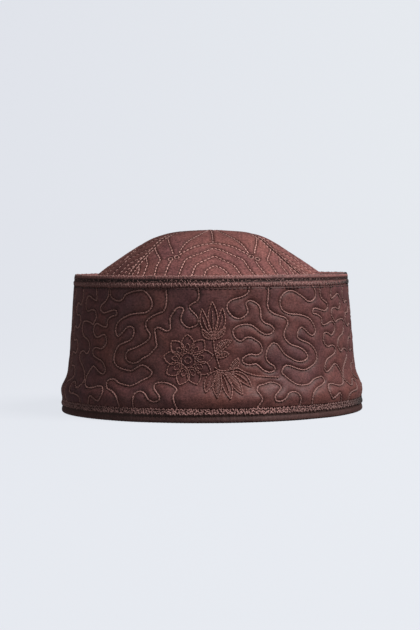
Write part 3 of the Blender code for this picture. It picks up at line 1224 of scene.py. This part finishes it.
EDGE_ROWS = (
    StitchRow(77.1, 79.3, 83.95, 83.95, 1.35, 1.2, True, 0.32, 0.12, 0.50, 41),
    StitchRow(77.4, 79.1, 83.95, 83.95, 2.3, 1.7, False, 0.28, 0.20, 0.90, 42),
    StitchRow(79.8, 81.0, 83.6, 83.7, 1.5, 1.2, True, 0.17, 0.05, 1.20, 43),
    StitchRow(82.8, 83.5, 83.4, 82.7, 0.95, 1.0, False, 0.28, 0.08, 0.45, 48),
)
HEM_ROWS = (
    StitchRow(6.9, 8.3, 91.55, 91.45, 1.30, 1.1, True, 0.44, 0.20, 0.55, 44),
    StitchRow(5.7, 6.9, 91.8, 91.6, 1.60, 1.3, True, 0.46, 0.26, 0.70, 45),
    StitchRow(4.8, 6.0, 92.0, 91.85, 1.40, 1.2, True, 0.44, 0.22, 0.60, 49),
)
# Painted shade: a row of real seam stitches, drawn in dark thread that stands for the shade in its needle
# holes
SEAM_ROWS = (
    StitchRow(75.9, 75.9, 84.0, 84.0, 2.7, 1.9, False, 0.28, 0.05, 0.15, 46),
)


def stitch_rows(name: str, rows: tuple[StitchRow, ...]) -> Piece:
    """Several rows of stitches as one piece, with painted shade at the sides."""
    piece = mesh_piece(name, *joined([row.mesh() for row in rows]))
    paint_side_shade(piece, 0.40, 0.62)
    return piece


def linear(colour: str) -> tuple[float, float, float, float]:
    """An sRGB hex colour as linear light with full alpha."""
    parts = [int(colour[at : at + 2], 16) / 255.0 for at in (1, 3, 5)]
    flat = [part / 12.92 if part <= 0.04045 else ((part + 0.055) / 1.055) ** 2.4 for part in parts]
    return (*flat, 1.0)


def add_node(tree: bpy.types.NodeTree, kind: str, settings: dict, links: dict) -> bpy.types.Node:
    """Adds a node.

    Args:
        tree: where it goes.
        kind: Blender's name of the node's type, without its first word.
        settings: values by property name, or by socket number or socket name.
        links: what feeds each socket, by socket number or name: an output, or a node's first one.

    Returns:
        The new node.
    """
    node = tree.nodes.new("ShaderNode" + kind)
    for name, value in settings.items():
        if isinstance(name, str) and hasattr(node, name):
            setattr(node, name, value)
        else:
            node.inputs[name].default_value = value
    for name, source in links.items():
        source = source.outputs[0] if isinstance(source, bpy.types.Node) else source
        tree.links.new(source, node.inputs[name])
    return node


def new_material(name: str) -> tuple[bpy.types.Material, bpy.types.NodeTree, bpy.types.Node]:
    """An empty material, its node tree and its shader."""
    material = bpy.data.materials.new(name)
    material.use_nodes = True
    return material, material.node_tree, material.node_tree.nodes["Principled BSDF"]


@dataclass(frozen=True)
class ClothFinish:
    """A woven cotton satin, dyed dark brown.

    Satin floats give a soft, broad sheen and hide the weave, so the eye gets a smooth face
    with faint cross slubs and lint flecks. The groove colour is painted shade, laid in grooves, tucks and
    creases.
    """

    face: str
    shade: str
    groove: str
    roughness: float
    sheen: float
    grain: float
    gloss: float

    def material(self, name: str) -> bpy.types.Material:
        """Builds the finish. The map is in metres, so a scale is the number of marks a metre."""
        material, tree, shader = new_material(name)
        flat = add_node(tree, "UVMap", {"uv_map": "flat_cloth"}, {})
        place = {"Vector": add_node(tree, "TexCoord", {}, {}).outputs["Object"]}
        # Blotches of dye and handling, about 30 mm across
        blotch = add_node(tree, "TexNoise", {"Scale": 34.0, "Detail": 3.0}, place)
        # Lint and worn floats, about 1 mm across
        fleck = add_node(tree, "TexNoise", {"Scale": 900.0, "Detail": 2.0}, place)
        # Uneven tension of the padding under the cloth, about 4 mm across
        swirl = add_node(tree, "TexNoise", {"Scale": 240.0, "Detail": 3.0}, place)
        # The real weave is 0.15 mm apart: it is drawn at 0.9 mm so that a trace of it shows
        stretch = add_node(tree, "Mapping", {"Scale": (260.0, 1100.0, 1.0)}, {"Vector": flat})
        slub = add_node(tree, "TexNoise", {"Scale": 1.0, "Detail": 2.0}, {"Vector": stretch})
        dye = add_node(tree, "MapRange", {1: 0.3, 2: 0.7}, {0: blotch})
        dyes = {"data_type": "RGBA", 6: linear(self.shade), 7: linear(self.face)}
        base = add_node(tree, "Mix", dyes, {0: dye}).outputs[2]
        grain = {1: 0.3, 2: 0.7, 3: 1.0 - self.grain, 4: 1.0 + self.grain}
        lint = add_node(tree, "MapRange", grain, {0: fleck})
        patch = add_node(tree, "MapRange", {1: 0.3, 2: 0.7, 3: 0.86, 4: 1.14}, {0: swirl})
        uneven = add_node(tree, "Math", {"operation": "MULTIPLY"}, {0: lint, 1: patch})
        # Painted light and shade: the dyed colour is scaled by a per-vertex amount, darker at the sides and
        # on parts of the crown
        painted_shading = add_node(tree, "Attribute", {"attribute_name": "painted_shading"}, {}).outputs["Fac"]
        tone = add_node(tree, "Math", {"operation": "MULTIPLY"}, {0: uneven, 1: painted_shading})
        times = {"data_type": "RGBA", "blend_type": "MULTIPLY", 0: 1.0}
        tone_with_painted_shade = add_node(tree, "Mix", times, {6: base, 7: tone}).outputs[2]
        # Painted shade: the groove colour is mixed in where the cloth dips into grooves, tucks, creases and
        # puckers
        painted_groove_shade = add_node(tree, "Attribute", {"attribute_name": "groove"}, {}).outputs["Fac"]
        deep = add_node(tree, "Math", {"operation": "POWER", 1: 1.5}, {0: painted_groove_shade})
        dark = {"data_type": "RGBA", 7: linear(self.groove)}
        shaded = add_node(tree, "Mix", dark, {0: deep, 6: tone_with_painted_shade}).outputs[2]
        matt = {1: 0.3, 2: 0.7, 3: self.roughness - 0.06, 4: self.roughness + 0.08}
        rough = add_node(tree, "MapRange", matt, {0: slub})
        weave = add_node(tree, "Bump", {"Strength": 0.35, "Distance": 0.00025}, {"Height": slub})
        rise = {"Height": fleck, "Normal": weave}
        pile = add_node(tree, "Bump", {"Strength": 0.30, "Distance": 0.0003}, rise)
        tree.links.new(shaded, shader.inputs["Base Color"])
        tree.links.new(rough.outputs[0], shader.inputs["Roughness"])
        tree.links.new(pile.outputs[0], shader.inputs["Normal"])
        shader.inputs["Specular IOR Level"].default_value = self.gloss
        shader.inputs["Sheen Weight"].default_value = self.sheen
        shader.inputs["Sheen Roughness"].default_value = 0.45
        shader.inputs["Sheen Tint"].default_value = linear("#9A6A60")
        return material


@dataclass(frozen=True)
class ThreadFinish:
    """Mercerised thread: two plies with a silky gloss, paler than the cloth where it rises.

    Mercerising rounds the fibre, so each ply catches a small bright line.
    """

    face: str
    shade: str
    roughness: float

    def material(self, name: str) -> bpy.types.Material:
        """Builds the finish, with plies and fuzz drawn as noise about 0.7 mm long."""
        material, tree, shader = new_material(name)
        place = {"Vector": add_node(tree, "TexCoord", {}, {}).outputs["Object"]}
        ply = add_node(tree, "TexNoise", {"Scale": 1400.0, "Detail": 2.0}, place)
        wear = add_node(tree, "TexNoise", {"Scale": 60.0, "Detail": 2.0}, place)
        some = add_node(tree, "Math", {"operation": "MULTIPLY", 1: 0.6}, {0: ply})
        both = add_node(tree, "Math", {"operation": "MULTIPLY_ADD", 1: 0.5}, {0: wear, 2: some})
        share = add_node(tree, "MapRange", {1: 0.35, 2: 0.75}, {0: both})
        dyes = {"data_type": "RGBA", 6: linear(self.shade), 7: linear(self.face)}
        colour = add_node(tree, "Mix", dyes, {0: share}).outputs[2]
        # Painted light and shade: the thread's colour is scaled by a per-vertex amount, darker at the sides
        # and near the crown's apex
        painted_shading = add_node(tree, "Attribute", {"attribute_name": "painted_shading"}, {}).outputs["Fac"]
        times = {"data_type": "RGBA", "blend_type": "MULTIPLY", 0: 1.0}
        side_shading = add_node(tree, "Mix", times, {6: colour, 7: painted_shading}).outputs[2]
        twist = add_node(tree, "Bump", {"Strength": 0.5, "Distance": 0.0002}, {"Height": ply})
        tree.links.new(side_shading, shader.inputs["Base Color"])
        tree.links.new(twist.outputs[0], shader.inputs["Normal"])
        shader.inputs["Roughness"].default_value = self.roughness
        shader.inputs["Specular IOR Level"].default_value = 0.25
        shader.inputs["Sheen Weight"].default_value = 0.10
        return material


class Finish(Enum):
    """The finishes of the cap, each with its material's name and its look."""

    # All four cloths are one satin. Each groove colour is painted shade; EDGE's colours are painted lighter,
    # for the light on the rolled top edge, and HEM's darker, for the shade under the rolled hem
    BAND = "quilted_cotton_satin", ClothFinish("#5E3833", "#4B2F32", "#2E1B17", 0.58, 0.16, 0.34, 0.20)
    CROWN = "crown_cotton_satin", ClothFinish("#6C443F", "#5A3839", "#24120F", 0.76, 0.14, 0.50, 0.10)
    EDGE = "rolled_satin_edge", ClothFinish("#77504D", "#5E3E3D", "#251614", 0.62, 0.14, 0.44, 0.22)
    HEM = "rolled_satin_hem", ClothFinish("#48302E", "#3C2624", "#33211E", 0.68, 0.10, 0.26, 0.22)
    THREAD = "mercerised_quilting_cord", ThreadFinish("#976D68", "#66443F", 0.54)
    EMBROIDERY = "mercerised_embroidery_thread", ThreadFinish("#8C6059", "#5C3A36", 0.44)
    CROWN_THREAD = "crown_running_stitch_thread", ThreadFinish("#CB9991", "#84554E", 0.56)
    FINE_THREAD = "mercerised_edging_thread", ThreadFinish("#AA7E79", "#60423F", 0.58)
    # Painted shade: a dark thread that stands for the shaded needle holes of the seam
    SEAM_THREAD = "seam_thread_painted_shade", ThreadFinish("#3E2826", "#2A1917", 0.70)


@dataclass(frozen=True)
class Studio:
    """A pale sweep, one large soft light from the upper right and a camera at the photo's angle.

    The sweep's profile is charted as distances behind the cap and heights, in metres.
    """

    camera_place: tuple[float, float, float] = (-0.8, -1100.0, 99.0)
    lens: float = 102.2
    sensor_width: float = 36.0
    pitch: float = 2.135
    roll: float = 0.42
    aim_height: float = 0.06
    light_colour: tuple[float, float, float] = (1.0, 0.985, 0.965)
    world_light: float = 0.17
    paper_light: float = 0.955
    sweep_reach: float = 9.0
    sweep_rows: int = 48
    sweep_run: tuple[float, ...] = (-9.0, -0.6, 0.5, 1.0, 1.3, 1.5, 1.6, 1.65)
    sweep_rise: tuple[float, ...] = (0.0, 0.0, 0.0, 0.04, 0.16, 0.4, 0.9, 2.6)

    def build_camera(self) -> None:
        """Looks along +Y, a little down, with the photo's slight roll."""
        camera = bpy.data.objects.new("camera", bpy.data.cameras.new("camera"))
        camera.data.lens = self.lens
        camera.data.sensor_width = self.sensor_width
        place = Matrix.Translation(Vector(self.camera_place) * MM)
        tilt = Matrix.Rotation(math.radians(90.0 - self.pitch), 4, "X")
        lean = Matrix.Rotation(math.radians(-self.roll), 4, "Z")
        camera.matrix_world = place @ tilt @ lean
        bpy.context.scene.collection.objects.link(camera)
        bpy.context.scene.camera = camera

    def build_light(self, name: str, place: tuple[float, float, float], power: float, size: float) -> None:
        """A square soft light that faces the cap, placed in metres."""
        light = bpy.data.objects.new(name, bpy.data.lights.new(name, "AREA"))
        light.data.energy = power
        light.data.size = size
        light.data.color = self.light_colour
        aim = Vector((0.0, 0.0, self.aim_height)) - Vector(place)
        turn = aim.to_track_quat("-Z", "Y").to_matrix().to_4x4()
        light.matrix_world = Matrix.Translation(Vector(place)) @ turn
        bpy.context.scene.collection.objects.link(light)

    def build_stage(self) -> None:
        """A floor that bends up into a backdrop, lit by itself so that shadows stay faint."""
        share = np.linspace(0.0, 1.0, self.sweep_rows)
        knots = np.linspace(0.0, 1.0, len(self.sweep_run))
        depth = np.interp(share, knots, self.sweep_run)
        height = np.maximum(eased(share, knots, np.array(self.sweep_rise)), 0.0)
        across = np.array([-self.sweep_reach, self.sweep_reach])[:, None]
        points = np.stack(np.broadcast_arrays(across, depth, height), axis=-1)
        first = np.arange(self.sweep_rows - 1)
        quads = np.stack([first, first + self.sweep_rows, first + self.sweep_rows + 1, first + 1], axis=1)
        sweep = mesh_piece("sweep", points.reshape(-1, 3) / MM, quads)
        material, tree, shader = new_material("studio_paper")
        place = add_node(tree, "TexCoord", {}, {}).outputs["Object"]
        split = add_node(tree, "SeparateXYZ", {}, {0: place})
        # Painted light: the paper's glow is a little brighter towards +X, the key light's side
        side = add_node(tree, "MapRange", {1: -0.5, 2: 0.5}, {0: split})
        pale = {"data_type": "RGBA", 6: linear("#DFE2EA"), 7: linear("#E7EBF0")}
        glow = add_node(tree, "Mix", pale, {0: side}).outputs[2]
        tree.links.new(glow, shader.inputs["Emission Color"])
        shader.inputs["Emission Strength"].default_value = self.paper_light
        shader.inputs["Base Color"].default_value = linear("#3A3A3B")
        shader.inputs["Roughness"].default_value = 1.0
        shader.inputs["Specular IOR Level"].default_value = 0.0
        sweep.data.materials.append(material)
        sweep.visible_diffuse = False
        sweep.visible_glossy = False
        sweep.visible_shadow = False

    def build(self) -> None:
        """Puts up the whole studio."""
        self.build_camera()
        self.build_light("key_light", (0.92, -0.52, 1.42), 56.0, 0.9)
        self.build_light("fill_light", (-1.4, -1.1, 0.12), 5.0, 1.0)
        self.build_light("table_bounce", (0.0, -0.35, -0.6), 0.8, 1.2)
        self.build_stage()
        world = bpy.data.worlds.new("room")
        world.use_nodes = True
        world.node_tree.nodes["Background"].inputs[0].default_value = linear("#E6E4E8")
        world.node_tree.nodes["Background"].inputs[1].default_value = self.world_light
        bpy.context.scene.world = world
        bpy.context.scene.view_settings.view_transform = "Standard"


def finish_piece(piece: Piece, finish: Finish) -> None:
    """Gives a piece its material and its body."""
    name, look = finish.value
    piece.data.materials.append(bpy.data.materials.get(name) or look.material(name))
    if "painted_shading" not in piece.data.attributes:
        point_value(piece, "painted_shading", np.ones(len(piece.data.vertices)))
    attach(piece, BODY)
    LOG.info("%s: %d faces", piece.name, len(piece.data.polygons))


def main() -> None:
    """Builds the cap piece by piece, then the studio; each piece's face count is logged."""
    logging.basicConfig(level=logging.INFO)
    band = BandPiece()
    wall = band.build_cloth()
    finish_piece(wall, Finish.BAND)
    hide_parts("band")
    finish_piece(band.build_cords(), Finish.THREAD)
    finish_piece(band.build_embroidery(), Finish.EMBROIDERY)
    crown = CrownPiece()
    top = crown.build_cloth()
    finish_piece(top, Finish.CROWN)
    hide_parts("crown")
    finish_piece(crown.build_stitches(), Finish.CROWN_THREAD)
    # The top edge's side on +X is painted lighter and the hem's darker: painted light and shade
    rim = RolledEdge("rolled_top_edge", TOP_EDGE_SECTION, 1.9, 0.12, 80.6, 1.4, -0.55, seed=31).build()
    finish_piece(rim, Finish.EDGE)
    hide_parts("top_edge")
    hem = RolledEdge("rolled_hem", HEM_SECTION, 2.3, 0.08, 4.0, 0.7, 0.40, seed=33).build()
    finish_piece(hem, Finish.HEM)
    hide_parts("bottom_hem")
    finish_piece(stitch_rows("edge_stitching", EDGE_ROWS), Finish.FINE_THREAD)
    finish_piece(stitch_rows("hem_stitching", HEM_ROWS), Finish.FINE_THREAD)
    finish_piece(stitch_rows("seam_stitching", SEAM_ROWS), Finish.SEAM_THREAD)
    Studio().build()


if __name__ == "__main__":
    main()
